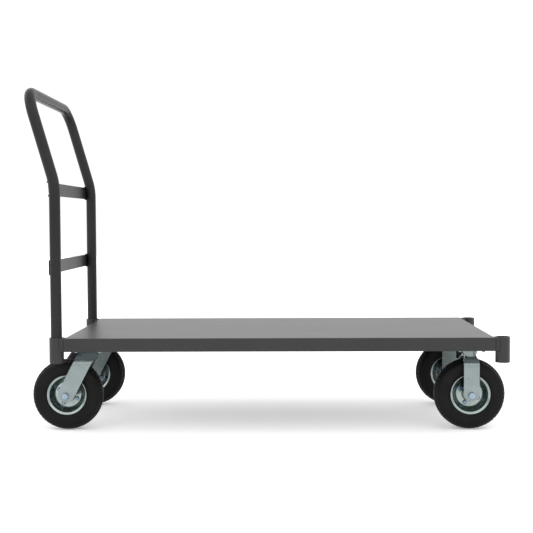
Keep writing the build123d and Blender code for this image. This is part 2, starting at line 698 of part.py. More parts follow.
def make_tyre(x, y):
    with BuildPart() as tyre:
        with BuildSketch(wheel_plane(x, y)):
            with BuildLine():
                Polyline((57.2, -26.0), (52.6, -24.1), (51.0, -21.5), (51.0, -14.5), (57.5, -15.5))
                Spline(
                    (57.5, -15.5),
                    (64.0, -20.5),
                    (76.0, -24.0),
                    (88.0, -19.5),
                    (94.0, 0.0),
                    (88.0, 19.5),
                    (76.0, 24.0),
                    (64.0, 20.5),
                    (57.5, 15.5),
                )
                Polyline((57.5, 15.5), (51.0, 14.5), (51.0, 21.5), (52.6, 24.1), (57.2, 26.0), (59.5, 28.0))
                Spline(
                    (59.5, 28.0),
                    (67.0, 30.8),
                    (77.0, TYRE_HALF_WIDTH),
                    (88.6, 29.6),
                    (96.8, 22.5),
                    (100.8, 13.5),
                    (WHEEL_R, 0.0),
                    (100.8, -13.5),
                    (96.8, -22.5),
                    (88.6, -29.6),
                    (77.0, -TYRE_HALF_WIDTH),
                    (67.0, -30.8),
                    (59.5, -28.0),
                )
                Line((59.5, -28.0), (57.2, -26.0))
            make_face()
        revolve(axis=wheel_axis(x, y))
        with BuildSketch(wheel_plane(x, y)):
            for groove_r, groove_y in ((WHEEL_R - 1.4, 6.0), (WHEEL_R - 3.6, 15.5)):
                with Locations((groove_r, -groove_y), (groove_r, groove_y)):
                    Rectangle(4.0, 2.2)
        revolve(axis=wheel_axis(x, y), mode=Mode.SUBTRACT)
    return tyre


def make_rim_half(x, y, side):
    s = side
    with BuildPart() as rim:
        with BuildSketch(wheel_plane(x, y)):
            with BuildLine():
                Polyline(
                    (BEARING_OUTER_R, 0.0),
                    (38.5, 0.0),
                    (41.5, s * 1.6),
                    (50.0, s * 10.0),
                    (50.9, s * 12.5),
                    (50.9, s * 21.6),
                    (52.4, s * 24.3),
                    (57.3, s * 26.3),
                    (57.3, s * 28.4),
                    (50.6, s * 26.4),
                    (48.5, s * 22.6),
                    (48.5, s * 13.2),
                    (39.8, s * 4.2),
                    (37.6, s * RIM_SHEET),
                    (22.6, s * RIM_SHEET),
                    (20.2, s * 5.0),
                    (20.2, s * HUB_HALF_WIDTH),
                    (BEARING_OUTER_R, s * HUB_HALF_WIDTH),
                    close=True,
                )
            make_face()
        revolve(axis=wheel_axis(x, y))
        with Locations(Location((x, y, WHEEL_R), (90, 0, 0))):
            with PolarLocations(RIM_BOLT_CIRCLE_R, 4, start_angle=RIM_BOLT_START):
                Cylinder(radius=3.4, height=20, mode=Mode.SUBTRACT)
    return rim


def make_rim_bolts(x, y):
    with BuildPart() as bolts:
        with BuildSketch(cross_plane(x, y - 10.6)):
            with PolarLocations(RIM_BOLT_CIRCLE_R, 4, start_angle=-RIM_BOLT_START):
                Circle(3.15)
        extrude(amount=10.6 + RIM_SHEET)
        with BuildSketch(cross_plane(x, y + RIM_SHEET)):
            with PolarLocations(RIM_BOLT_CIRCLE_R, 4, start_angle=-RIM_BOLT_START):
                RegularPolygon(5.5, 6, major_radius=False)
        extrude(amount=4.0)
        with BuildSketch(cross_plane(x, y - RIM_SHEET - 5.6)):
            with PolarLocations(RIM_BOLT_CIRCLE_R, 4, start_angle=-RIM_BOLT_START):
                RegularPolygon(5.5, 6, major_radius=False)
                Circle(3.2, mode=Mode.SUBTRACT)
        extrude(amount=5.6)
    return bolts


def make_bearings(x, y):
    with BuildPart() as bearings:
        for start in (-HUB_HALF_WIDTH, HUB_HALF_WIDTH - BEARING_WIDTH):
            with BuildSketch(cross_plane(x, y + start)):
                Circle(BEARING_OUTER_R - 0.05)
                Circle(BEARING_BORE_R, mode=Mode.SUBTRACT)
            extrude(amount=BEARING_WIDTH)
            for face_y in (start, start + BEARING_WIDTH - 0.7):
                with BuildSketch(cross_plane(x, y + face_y)):
                    Circle(14.2)
                    Circle(10.2, mode=Mode.SUBTRACT)
                extrude(amount=0.7, mode=Mode.SUBTRACT)
    return bearings


for end_name, x in (("swivel", TRAILING_AXLE_X), ("rigid", RIGID_X)):
    for side_name, y in SIDES:
        place_name = f"{end_name}_{side_name}"
        tyre = make_tyre(x, y)
        tyre.part.label = f"tyre_{place_name}"
        export_step(tyre.part, f"parts/tyre_{place_name}.step")
        rim_front = make_rim_half(x, y, -1)
        rim_front.part.label = f"rim_front_{place_name}"
        export_step(rim_front.part, f"parts/rim_front_{place_name}.step")
        rim_back = make_rim_half(x, y, 1)
        rim_back.part.label = f"rim_back_{place_name}"
        export_step(rim_back.part, f"parts/rim_back_{place_name}.step")
        rim_bolts = make_rim_bolts(x, y)
        rim_bolts.part.label = f"rim_bolts_{place_name}"
        export_step(rim_bolts.part, f"parts/rim_bolts_{place_name}.step")
        bearings = make_bearings(x, y)
        bearings.part.label = f"bearings_{place_name}"
        export_step(bearings.part, f"parts/bearings_{place_name}.step")
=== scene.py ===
import json
import math

import bmesh
import bpy
from mathutils import Matrix, Vector

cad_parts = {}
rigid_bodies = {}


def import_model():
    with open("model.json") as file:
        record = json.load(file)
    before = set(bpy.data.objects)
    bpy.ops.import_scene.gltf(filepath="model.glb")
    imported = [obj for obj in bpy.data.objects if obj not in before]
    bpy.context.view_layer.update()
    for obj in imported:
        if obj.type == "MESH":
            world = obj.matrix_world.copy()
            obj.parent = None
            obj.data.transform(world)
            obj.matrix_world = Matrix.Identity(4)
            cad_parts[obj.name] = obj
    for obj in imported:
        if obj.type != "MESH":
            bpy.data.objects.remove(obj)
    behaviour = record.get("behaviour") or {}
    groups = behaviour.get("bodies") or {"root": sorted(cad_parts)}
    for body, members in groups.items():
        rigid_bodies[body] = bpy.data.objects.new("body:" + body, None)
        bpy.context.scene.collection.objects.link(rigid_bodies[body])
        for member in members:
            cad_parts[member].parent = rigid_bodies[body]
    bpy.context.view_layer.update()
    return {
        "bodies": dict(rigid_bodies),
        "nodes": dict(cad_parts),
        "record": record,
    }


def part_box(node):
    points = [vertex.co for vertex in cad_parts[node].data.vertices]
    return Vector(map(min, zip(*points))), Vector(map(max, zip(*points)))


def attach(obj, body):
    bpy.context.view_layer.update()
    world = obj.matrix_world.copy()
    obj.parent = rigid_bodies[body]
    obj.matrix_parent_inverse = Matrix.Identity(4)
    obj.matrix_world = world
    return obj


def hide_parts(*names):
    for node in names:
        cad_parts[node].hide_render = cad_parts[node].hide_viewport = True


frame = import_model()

scene = bpy.context.scene
nodes = frame["nodes"]

# ---------------------------------------------------------------- places read from the frame (metres)
deck_low, deck_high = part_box("deck_pan")
DECK_MIDDLE_X = (deck_low[0] + deck_high[0]) / 2
DECK_NEAR_Y = deck_low[1]


# ---------------------------------------------------------------- camera
# Metres, radians and pixels. The side and back distances start at the deck's middle and near edge.
IMAGE_SIZE = 533
FOCAL_PIXELS = 1050.3
SENSOR_MM = 36.0
CAMERA_SIDE = 0.0180
CAMERA_BACK = 2.9463
CAMERA_HEIGHT = 0.6114
CAMERA_PITCH = 0.0455
CAMERA_YAW = -0.0175
CAMERA_ROLL = -0.0046


def make_camera():
    data = bpy.data.cameras.new("camera")
    data.sensor_width = SENSOR_MM
    data.lens = SENSOR_MM * FOCAL_PIXELS / IMAGE_SIZE
    data.clip_start = 0.05
    data.clip_end = 60.0
    camera = bpy.data.objects.new("camera", data)
    scene.collection.objects.link(camera)
    forward = Vector((
        math.sin(CAMERA_YAW) * math.cos(CAMERA_PITCH),
        math.cos(CAMERA_YAW) * math.cos(CAMERA_PITCH),
        -math.sin(CAMERA_PITCH),
    ))
    level_right = Vector((math.cos(CAMERA_YAW), -math.sin(CAMERA_YAW), 0.0))
    level_up = level_right.cross(forward)
    right = level_right * math.cos(CAMERA_ROLL) + level_up * math.sin(CAMERA_ROLL)
    up = level_up * math.cos(CAMERA_ROLL) - level_right * math.sin(CAMERA_ROLL)
    turn = Matrix((right, up, -forward)).transposed().to_4x4()
    place = Vector((DECK_MIDDLE_X + CAMERA_SIDE, DECK_NEAR_Y - CAMERA_BACK, CAMERA_HEIGHT))
    camera.matrix_world = Matrix.Translation(place) @ turn
    scene.camera = camera


make_camera()


# ---------------------------------------------------------------- lights and floor
# The front and back levels are (place, brightness), from 0 straight down to 1 straight up. The side levels
# run from 0 on the camera's side to 1 behind the cart, and choose between the front (0) and the back (1).
WORLD_STRENGTH = 3.0
FRONT_LEVELS = ((0.0, 0.30), (0.50, 0.32), (0.55, 0.33), (0.63, 0.62), (0.76, 0.60), (1.0, 0.3))
BACK_LEVELS = ((0.0, 0.35), (0.50, 0.352), (0.59, 0.352), (0.72, 0.55), (1.0, 0.3))
SIDE_LEVELS = ((0.0, 0.0), (0.35, 0.0), (0.6, 1.0), (1.0, 1.0))
FLOOR_WHITE = 0.96
FLOOR_GLOW = 0.25
FLOOR_ROUGHNESS = 0.9
FLOOR_SPECULAR = 0.1
FLOOR_HALF = 14.0
FLOOR_DROP = 0.0005
OVERHEAD_PLACE = (0.2, -0.3, 3.0)
OVERHEAD_TARGET = (0.0, 0.0, 0.2)
OVERHEAD_SIZE = (3.0, 2.0)
OVERHEAD_POWER = 12.0


def make_area_light(name, place, target, size, power):
    data = bpy.data.lights.new(name, "AREA")
    data.shape = "RECTANGLE"
    data.size, data.size_y = size
    data.energy = power
    lamp = bpy.data.objects.new(name, data)
    scene.collection.objects.link(lamp)
    lamp.location = place
    lamp.rotation_mode = "QUATERNION"
    lamp.rotation_quaternion = (Vector(target) - Vector(place)).to_track_quat("-Z", "Y")


def make_world():
    """About white at the horizon and brighter in a band above it, set by direction only."""
    world = bpy.data.worlds.new("studio")
    world.use_nodes = True
    tree = world.node_tree
    background = tree.nodes["Background"]
    coordinates = tree.nodes.new("ShaderNodeTexCoord")
    split = tree.nodes.new("ShaderNodeSeparateXYZ")
    tree.links.new(coordinates.outputs["Generated"], split.inputs["Vector"])

    def level(source, stops):
        """A smooth curve over one part of the direction, which runs from -1 to 1."""
        ramp = tree.nodes.new("ShaderNodeValToRGB")
        ramp.color_ramp.interpolation = "EASE"
        while len(ramp.color_ramp.elements) < len(stops):
            ramp.color_ramp.elements.new(0.5)
        for element, (position, value) in zip(ramp.color_ramp.elements, stops):
            element.position = position
            element.color = (value, value, value, 1.0)
        reach = tree.nodes.new("ShaderNodeMapRange")
        reach.inputs["From Min"].default_value = -1.0
        reach.inputs["From Max"].default_value = 1.0
        tree.links.new(source, reach.inputs["Value"])
        tree.links.new(reach.outputs["Result"], ramp.inputs["Fac"])
        return ramp.outputs["Color"]

    front = level(split.outputs["Z"], FRONT_LEVELS)
    back = level(split.outputs["Z"], BACK_LEVELS)
    side = level(split.outputs["Y"], SIDE_LEVELS)
    mix = tree.nodes.new("ShaderNodeMix")
    mix.data_type = "RGBA"
    tree.links.new(side, mix.inputs["Factor"])
    tree.links.new(front, mix.inputs["A"])
    tree.links.new(back, mix.inputs["B"])
    tree.links.new(mix.outputs["Result"], background.inputs["Color"])
    background.inputs["Strength"].default_value = WORLD_STRENGTH
    scene.world = world


def make_floor():
    mesh = bpy.data.meshes.new("floor")
    corners = [(sx * FLOOR_HALF, sy * FLOOR_HALF, 0.0) for sx, sy in ((-1, -1), (1, -1), (1, 1), (-1, 1))]
    mesh.from_pydata(corners, [], [(0, 1, 2, 3)])
    floor = bpy.data.objects.new("floor", mesh)
    floor.location.z = -FLOOR_DROP
    scene.collection.objects.link(floor)
    material = bpy.data.materials.new("floor_paper")
    material.use_nodes = True
    shader = material.node_tree.nodes["Principled BSDF"]
    shader.inputs["Base Color"].default_value = (FLOOR_WHITE, FLOOR_WHITE, FLOOR_WHITE, 1.0)
    shader.inputs["Emission Color"].default_value = (1.0, 1.0, 1.0, 1.0)
    shader.inputs["Emission Strength"].default_value = FLOOR_GLOW
    shader.inputs["Roughness"].default_value = FLOOR_ROUGHNESS
    shader.inputs["Specular IOR Level"].default_value = FLOOR_SPECULAR
    mesh.materials.append(material)


scene.view_settings.view_transform = "Standard"
make_world()
make_floor()
make_area_light("overhead", OVERHEAD_PLACE, OVERHEAD_TARGET, OVERHEAD_SIZE, OVERHEAD_POWER)


# ---------------------------------------------------------------- material helpers
class Material:
    """A Principled material with short calls for the nodes that drive it."""

    def __init__(self, name, **values):
        self.material = bpy.data.materials.new(name)
        self.material.use_nodes = True
        self.tree = self.material.node_tree
        self.shader = self.tree.nodes["Principled BSDF"]
        for socket, value in values.items():
            self.shader.inputs[socket.replace("_", " ")].default_value = value
        coordinates = self.tree.nodes.new("ShaderNodeTexCoord")
        self.place = coordinates.outputs["Object"]

    def node(self, kind, **settings):
        made = self.tree.nodes.new(kind)
        for key, value in settings.items():
            setattr(made, key, value)
        return made

    def link(self, source, target):
        self.tree.links.new(source, target)

    def stretched(self, scale):
        mapping = self.node("ShaderNodeMapping")
        mapping.inputs["Scale"].default_value = scale
        self.link(self.place, mapping.inputs["Vector"])
        return mapping.outputs["Vector"]

    def noise(self, scale, detail=2.0, roughness=0.5, vector=None):
        noise = self.node("ShaderNodeTexNoise")
        noise.inputs["Scale"].default_value = scale
        noise.inputs["Detail"].default_value = detail
        noise.inputs["Roughness"].default_value = roughness
        self.link(vector or self.place, noise.inputs["Vector"])
        return noise.outputs["Fac"]

    def ramp(self, factor, stops):
        ramp = self.node("ShaderNodeValToRGB")
        while len(ramp.color_ramp.elements) < len(stops):
            ramp.color_ramp.elements.new(0.5)
        for element, (position, colour) in zip(ramp.color_ramp.elements, stops):
            element.position = position
            element.color = (*colour, 1.0)
        self.link(factor, ramp.inputs["Fac"])
        return ramp.outputs["Color"]

    def span(self, factor, low, high, from_low=0.3, from_high=0.7):
        reach = self.node("ShaderNodeMapRange")
        reach.inputs["From Min"].default_value = from_low
        reach.inputs["From Max"].default_value = from_high
        reach.inputs["To Min"].default_value = low
        reach.inputs["To Max"].default_value = high
        self.link(factor, reach.inputs["Value"])
        return reach.outputs["Result"]

    def bump(self, heights):
        """Stacks (height socket, strength, distance) bumps and feeds the shader's normal."""
        previous = None
        for height, strength, distance in heights:
            bump = self.node("ShaderNodeBump")
            bump.inputs["Strength"].default_value = strength
            bump.inputs["Distance"].default_value = distance
            self.link(height, bump.inputs["Height"])
            if previous:
                self.link(previous, bump.inputs["Normal"])
            previous = bump.outputs["Normal"]
        self.link(previous, self.shader.inputs["Normal"])

    def colour(self, socket):
        self.link(socket, self.shader.inputs["Base Color"])

    def roughness(self, socket):
        self.link(socket, self.shader.inputs["Roughness"])


def cool_grey(level):
    return (level, level * 1.015, level * 1.05)


def powder_coat(name, ior, low, high):
    """Grey powder coat: fine orange peel, faint cloudiness and long faint rub marks."""
    m = Material(name, IOR=ior)
    cloud = m.noise(7.0, 3.0)
    m.colour(m.ramp(cloud, [(0.3, cool_grey(low)), (0.7, cool_grey(high))]))
    streaks = m.noise(1.0, 4.0, 0.6, m.stretched((3.0, 90.0, 12.0)))
    m.roughness(m.span(streaks, 0.35, 0.385))
    m.bump([(m.noise(650.0, 2.0), 0.10, 0.0004), (m.noise(90.0, 2.0), 0.04, 0.001)])
    return m.material


def zinc_plate(name, low, high, roughness, metallic=1.0):
    """Zinc plate or ground steel: soft colour patches, uneven polish and faint surface marks."""
    m = Material(name, Metallic=metallic)
    m.colour(m.ramp(m.noise(28.0, 3.0), [(0.3, low), (0.7, high)]))
    m.roughness(m.span(m.noise(22.0, 2.0), roughness - 0.02, roughness + 0.03))
    m.bump([(m.noise(420.0, 2.0), 0.015, 0.0003), (m.noise(60.0, 2.0), 0.02, 0.001)])
    return m.material


def tyre_rubber():
    """Black rubber with faint grey bloom and a fine moulded grain."""
    m = Material("tyre_rubber", IOR=1.22)
    bloom = m.noise(18.0, 3.0)
    m.colour(m.ramp(bloom, [(0.3, (0.0035, 0.0035, 0.0037)), (0.7, (0.0055, 0.0055, 0.0057))]))
    m.roughness(m.span(m.noise(70.0, 3.0), 0.48, 0.62))
    m.bump([(m.noise(900.0, 3.0), 0.15, 0.0003)])
    return m.material


paint = powder_coat("grey_powder_coat", 1.43, 0.012, 0.0155)
handle_paint = powder_coat("grey_powder_coat_handle", 1.24, 0.015, 0.019)
zinc_pressing = zinc_plate("zinc_pressing", (0.195, 0.235, 0.238), (0.236, 0.272, 0.272), 0.25, 0.62)
zinc_rim = zinc_plate("zinc_rim", (0.22, 0.27, 0.26), (0.31, 0.345, 0.335), 0.17)
zinc_fastener = zinc_plate("zinc_fastener", (0.19, 0.275, 0.36), (0.29, 0.345, 0.40), 0.16)
bearing_steel = zinc_plate("bearing_steel", (0.28, 0.28, 0.28), (0.34, 0.34, 0.335), 0.2)
rubber = tyre_rubber()

MATERIALS = {
    "grey_powder_coat": paint,
    "zinc_pressing": zinc_pressing,
    "zinc_rim": zinc_rim,
    "zinc_fastener": zinc_fastener,
    "bearing_steel": bearing_steel,
    "tyre_rubber": rubber,
}
slots = {entry["node"]: entry["material_slot"] for entry in frame["record"]["subparts"]}
for name, part in nodes.items():
    chosen = handle_paint if name.startswith(("handle_", "brace_")) else MATERIALS[slots[name]]
    if not part.data.materials:
        part.data.materials.append(chosen)
    for index in range(len(part.material_slots)):
        part.material_slots[index].material = chosen


# ---------------------------------------------------------------- mesh helpers
MM = 0.001


def finish_mesh(name, mesh_maker, material, smooth_angle=35.0):
    """Turns a bmesh into a linked object with one material and smooth shading up to an angle."""
    bmesh.ops.recalc_face_normals(mesh_maker, faces=mesh_maker.faces)
    mesh = bpy.data.meshes.new(name)
    mesh_maker.to_mesh(mesh)
    mesh_maker.free()
    mesh.materials.append(material)
    mesh.shade_smooth()
    mesh.set_sharp_from_angle(angle=math.radians(smooth_angle))
    piece = bpy.data.objects.new(name, mesh)
    scene.collection.objects.link(piece)
    return piece


def rounded(points, radius, steps=4):
    """A closed outline with each corner replaced by a short curve no larger than its sides allow."""
    outline = []
    count = len(points)
    for index, corner in enumerate(points):
        here = Vector(corner)
        before = Vector(points[index - 1]) - here
        after = Vector(points[(index + 1) % count]) - here
        turn = before.angle(after)
        reach = min(radius / math.tan(turn / 2), before.length * 0.45, after.length * 0.45)
        start = here + before.normalized() * reach
        end = here + after.normalized() * reach
        for step in range(steps + 1):
            t = step / steps
            outline.append(start * (1 - t) ** 2 + here * 2 * t * (1 - t) + end * t ** 2)
    return outline


def skin(made, rings, joined):
    """Faces from each ring of vertices to the next, then back to the first or over both ends."""
    following = rings[1:] + rings[:1] if joined else rings[1:]
    for here, there in zip(rings, following):
        count = len(here)
        for index in range(count):
            after = (index + 1) % count
            made.faces.new((here[index], here[after], there[after], there[index]))
    if not joined:
        made.faces.new(rings[0])
        made.faces.new(rings[-1])


def lathe(outline_at, centre, segments):
    """Revolves closed outlines of (radius, across) in millimetres about a wheel's axle line."""
    made = bmesh.new()
    rings = []
    for step in range(segments):
        angle = 2 * math.pi * step / segments
        ring = []
        for radius, across in outline_at(step):
            x = centre[0] + radius * MM * math.cos(angle)
            z = centre[2] + radius * MM * math.sin(angle)
            ring.append(made.verts.new((x, centre[1] + across * MM, z)))
        rings.append(ring)
    skin(made, rings, True)
    return made


# ---------------------------------------------------------------- wheels
TYRE_R = 102.6
TREAD_HALF = 22.5
CROWN_DROP = 5.6
CROWN_POWER = 2.2
TREAD_REPEATS = 52
STEPS_PER_REPEAT = 4
GROOVES = (-15.6, -5.4, 5.4, 15.6)
GROOVE_HALF = 1.15
GROOVE_DEPTH = 2.6
GROOVE_EDGE = 0.35
GROOVE_EDGE_DEPTH = 0.25
GROOVE_FLOOR = 0.7
ZIGZAG = 1.3
LUG_START = 20.0
LUG_DEPTH = 0.9


def crown_radius(across):
    """The tread is highest in its middle and falls by CROWN_DROP to the shoulders."""
    return TYRE_R - CROWN_DROP * (abs(across) / TREAD_HALF) ** CROWN_POWER


def tread_columns():
    """(across, depth, zigzag share, shoulder lug depth) for each column over the tread."""
    columns = [(-TREAD_HALF, 0.0, 0.0, LUG_DEPTH), (-LUG_START, 0.0, 0.0, LUG_DEPTH)]
    for groove in GROOVES:
        lug = LUG_DEPTH if groove in (GROOVES[0], GROOVES[-1]) else 0.0
        left_lug, right_lug = (lug, 0.0) if groove < 0 else (0.0, lug)
        columns.append((groove - GROOVE_HALF - GROOVE_EDGE, 0.0, 1.0, left_lug))
        columns.append((groove - GROOVE_HALF, GROOVE_EDGE_DEPTH, 1.0, left_lug))
        columns.append((groove - GROOVE_HALF * GROOVE_FLOOR, GROOVE_DEPTH, 1.0, 0.0))
        columns.append((groove + GROOVE_HALF * GROOVE_FLOOR, GROOVE_DEPTH, 1.0, 0.0))
        columns.append((groove + GROOVE_HALF, GROOVE_EDGE_DEPTH, 1.0, right_lug))
        columns.append((groove + GROOVE_HALF + GROOVE_EDGE, 0.0, 1.0, right_lug))
        if groove == GROOVES[1]:
            columns.append((0.0, 0.0, 1.0, 0.0))
    columns += [(LUG_START, 0.0, 0.0, LUG_DEPTH), (TREAD_HALF, 0.0, 0.0, LUG_DEPTH)]
    return columns


# (across, radius) of one wall, from the shoulder down to the bead and up again inside.
SIDEWALL = (
    (24.8, 95.6), (27.0, 93.2), (28.9, 89.9), (29.3, 89.0), (30.1, 88.8), (30.4, 87.8), (31.2, 84.0),
    (31.85, 79.2), (31.9, 75.0), (31.5, 71.0), (31.0, 68.0), (31.35, 67.4), (31.4, 66.2), (30.8, 65.6),
    (29.8, 63.0), (28.9, 60.6), (27.6, 59.0), (26.1, 58.0), (24.3, 54.0), (21.6, 51.1), (15.0, 51.1),
    (15.6, 57.4), (20.4, 64.0), (23.6, 76.0), (19.0, 88.0), (10.0, 93.0),
)


def tyre_outline(step):
    """Zigzag grooves and shoulder lugs on the tread, moulded lines on the walls."""
    place = step % STEPS_PER_REPEAT
    zigzag = ZIGZAG * (1 - 4 * abs(place / STEPS_PER_REPEAT - 0.5))
    cut = 1.0 if place >= STEPS_PER_REPEAT // 2 else 0.0
    outline = []
    for across, depth, share, lug in tread_columns():
        radius = crown_radius(across) - depth - lug * cut
        outline.append((radius, across + share * zigzag))
    outline += [(radius, across) for across, radius in SIDEWALL]
    outline += [(radius, -across) for across, radius in reversed(SIDEWALL)]
    return outline


def tyre_mesh(centre):
    return lathe(tyre_outline, centre, TREAD_REPEATS * STEPS_PER_REPEAT)


# (radius, across) of one rim half, from the hub bore out to the rolled lip and back. Across is
# positive away from the joint between the halves.
RIM_OUTLINE = (
    (17.5, 0.0), (38.5, 0.0), (41.5, 1.6), (50.0, 10.0), (50.9, 12.5), (50.9, 21.6), (52.4, 24.3),
    (57.2, 26.0), (58.0, 27.3), (57.2, 28.6), (55.6, 28.6), (50.6, 26.4), (48.5, 22.6), (48.5, 13.2),
    (39.8, 4.2), (37.6, 2.4), (22.6, 2.4), (20.2, 5.0), (20.2, 35.0), (17.5, 35.0),
)


RIM_FILLET = 1.6
RIM_SEGMENTS = 96


def rim_mesh(centre, side):
    outline = [(radius, side * across) for radius, across in rounded(RIM_OUTLINE, RIM_FILLET)]
    return lathe(lambda step: outline, centre, RIM_SEGMENTS)


def middle(node):
    low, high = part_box(node)
    return tuple((a + b) / 2 for a, b in zip(low, high))


wheel_bodies = [body for body in frame["bodies"] if body.startswith("wheel_")]
for body in wheel_bodies:
    place = body[len("wheel_"):]
    centre = middle("tyre_" + place)
    tyre = finish_mesh("tyre_treaded_" + place, tyre_mesh(centre), rubber)
    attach(tyre, body)
    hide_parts("tyre_" + place)
    for face, side in (("front", -1), ("back", 1)):
        rim = finish_mesh("rim_%s_rolled_%s" % (face, place), rim_mesh(centre, side), zinc_rim)
        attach(rim, body)
        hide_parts("rim_%s_%s" % (face, place))


# ---------------------------------------------------------------- bolts and nuts
AROUND = 48
HEX_CORNER = 0.5774
HEX_SEAT = 1.02
HEX_FACE = 0.95
HEX_DISH = 0.84
HEX_DISH_DEPTH = 0.15
HEX_CHAMFER = 0.07
THREAD_DEPTH = 0.42
COARSE_PITCH = 1.6
FINE_PITCH = 1.25
ALONG_Y = (Vector((0, 1, 0)), Vector((1, 0, 0)), Vector((0, 0, 1)))
ALONG_Z = (Vector((0, 0, 1)), Vector((1, 0, 0)), Vector((0, 1, 0)))


def ring_radii(across_flats, turn, limit):
    """Radii round a hexagon, cut to a circle of the limit radius so that its corners chamfer."""
    radii = []
    for step in range(AROUND):
        angle = 2 * math.pi * step / AROUND
        off_flat = (angle - math.radians(turn)) % (math.pi / 3) - math.pi / 6
        radii.append(min(across_flats / 2 / math.cos(off_flat), limit))
    return radii


def hexagon_rings(start, height, across_flats, turn):
    """A hexagon with its corners chamfered at both faces and a shallow dish in the outer face."""
    corner = across_flats * HEX_CORNER
    flat = across_flats / 2
    step = 1 if height > 0 else -1
    relief = step * HEX_CHAMFER * across_flats
    return [
        (start, ring_radii(across_flats, turn, flat * HEX_SEAT)),
        (start + relief * 0.6, ring_radii(across_flats, turn, corner)),
        (start + height - relief, ring_radii(across_flats, turn, corner)),
        (start + height, ring_radii(across_flats, turn, flat * HEX_FACE)),
        (start + height - step * HEX_DISH_DEPTH, ring_radii(across_flats, turn, flat * HEX_DISH)),
    ]


def round_rings(stations):
    return [(along, [radius] * AROUND) for along, radius in stations]


def thread_stations(start, end, radius, pitch):
    """A ridged shank with a bevelled point."""
    step = pitch / 2 if end > start else -pitch / 2
    count = int(abs((end - start) / step)) - 1
    groove = THREAD_DEPTH * pitch
    stations = [(start + index * step, radius - (0.0 if index % 2 else groove)) for index in range(count)]
    return stations + [(end - step * 0.9, radius - 0.1), (end, radius * 0.8)]


def add_stack(made, centre, rings, axes):
    """Closes a stack of rings (distance along, radii) into one solid."""
    along_axis, u_axis, v_axis = axes
    origin = Vector(centre)
    loops = []
    for along, radii in rings:
        loop = []
        for step, radius in enumerate(radii):
            angle = 2 * math.pi * step / AROUND
            out = u_axis * (radius * math.cos(angle)) + v_axis * (radius * math.sin(angle))
            loop.append(made.verts.new(origin + (along_axis * along + out) * MM))
        loops.append(loop)
    skin(made, loops, False)


STAND_IN_SMOOTH = 28.0


def stand_in(name, made, node, body, slot):
    """Shows a finer mesh in place of one CAD node, on the same body."""
    piece = finish_mesh(name, made, MATERIALS[slot], STAND_IN_SMOOTH)
    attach(piece, body)
    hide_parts(node)


RIM_BOLT_CIRCLE = 29.0
RIM_BOLT_START = 63.0
RIM_SHEET = 2.4
RIM_BOLT_R = 3.1
RIM_BOLT_END = -10.6
RIM_NUT_FLATS = 11.0
RIM_NUT_HEIGHT = 3.1
RIM_HEAD_HEIGHT = 4.0
RIM_WASHER = ((-RIM_SHEET, 6.7), (-3.2, 6.7), (-3.4, 6.5))
RIM_COLLAR = ((-6.3, 4.9), (-7.2, 4.8), (-7.8, 4.4), (-8.0, 3.9), (-7.7, 3.4))


def rim_bolts_mesh(centre):
    made = bmesh.new()
    for index in range(4):
        angle = math.radians(RIM_BOLT_START + 90 * index)
        place = Vector(centre) + Vector((math.cos(angle), 0, math.sin(angle))) * RIM_BOLT_CIRCLE * MM
        turn = 17 * index
        shank = thread_stations(RIM_SHEET, RIM_BOLT_END, RIM_BOLT_R, FINE_PITCH)
        nut = hexagon_rings(RIM_WASHER[-1][0], -RIM_NUT_HEIGHT, RIM_NUT_FLATS, turn)
        head = hexagon_rings(RIM_SHEET, RIM_HEAD_HEIGHT, RIM_NUT_FLATS, turn + 9)
        for rings in (round_rings(shank), round_rings(RIM_WASHER), nut, round_rings(RIM_COLLAR), head):
            add_stack(made, place, rings, ALONG_Y)
    return made


AXLE_R = 6.35
AXLE_HEAD = 19.05
FORK_OUTER = 48.0
AXLE_THREAD_END = FORK_OUTER + 13.0
AXLE_HEAD_HEIGHT = 7.4
AXLE_NUT_HEIGHT = 8.2
AXLE_WASHER = ((-FORK_OUTER, 9.2), (-FORK_OUTER - 0.7, 9.2))
AXLE_COLLAR = ((8.0, 8.7), (9.8, 8.6), (10.6, 8.1), (10.9, 7.3), (10.5, 6.6))


def axle_bolt_mesh(centres):
    made = bmesh.new()
    for centre in centres:
        shank = [(-FORK_OUTER - 1.0, AXLE_R), (FORK_OUTER + 1.0, AXLE_R)]
        shank += thread_stations(FORK_OUTER + 1.2, AXLE_THREAD_END, AXLE_R, COARSE_PITCH)
        add_stack(made, centre, round_rings(shank), ALONG_Y)
        add_stack(made, centre, round_rings(AXLE_WASHER), ALONG_Y)
        add_stack(made, centre, hexagon_rings(-FORK_OUTER - 0.6, -AXLE_HEAD_HEIGHT, AXLE_HEAD, 12), ALONG_Y)
    return made


def axle_nut_mesh(centres):
    made = bmesh.new()
    for centre in centres:
        add_stack(made, centre, hexagon_rings(FORK_OUTER, AXLE_NUT_HEIGHT, AXLE_HEAD, 5), ALONG_Y)
        collar = [(FORK_OUTER + along, radius) for along, radius in AXLE_COLLAR]
        add_stack(made, centre, round_rings(collar), ALONG_Y)
    return made


BOLT_SPACING = (66.7, 92.1)
PLATE_BOLT_R = 4.76
PLATE_NUT_FLATS = 14.3
PLATE_HEAD_HEIGHT = 6.2
PLATE_THREAD = 14.0


def plate_bolt_places(height):
    places = []
    for node in ("swivel_plate_near", "swivel_plate_far", "rigid_fork_near", "rigid_fork_far"):
        x, y, _ = middle(node)
        for sx in (-1, 1):
            for sy in (-1, 1):
                bolt_x = x + sx * BOLT_SPACING[0] / 2 * MM
                bolt_y = y + sy * BOLT_SPACING[1] / 2 * MM
                places.append((bolt_x, bolt_y, height))
    return places


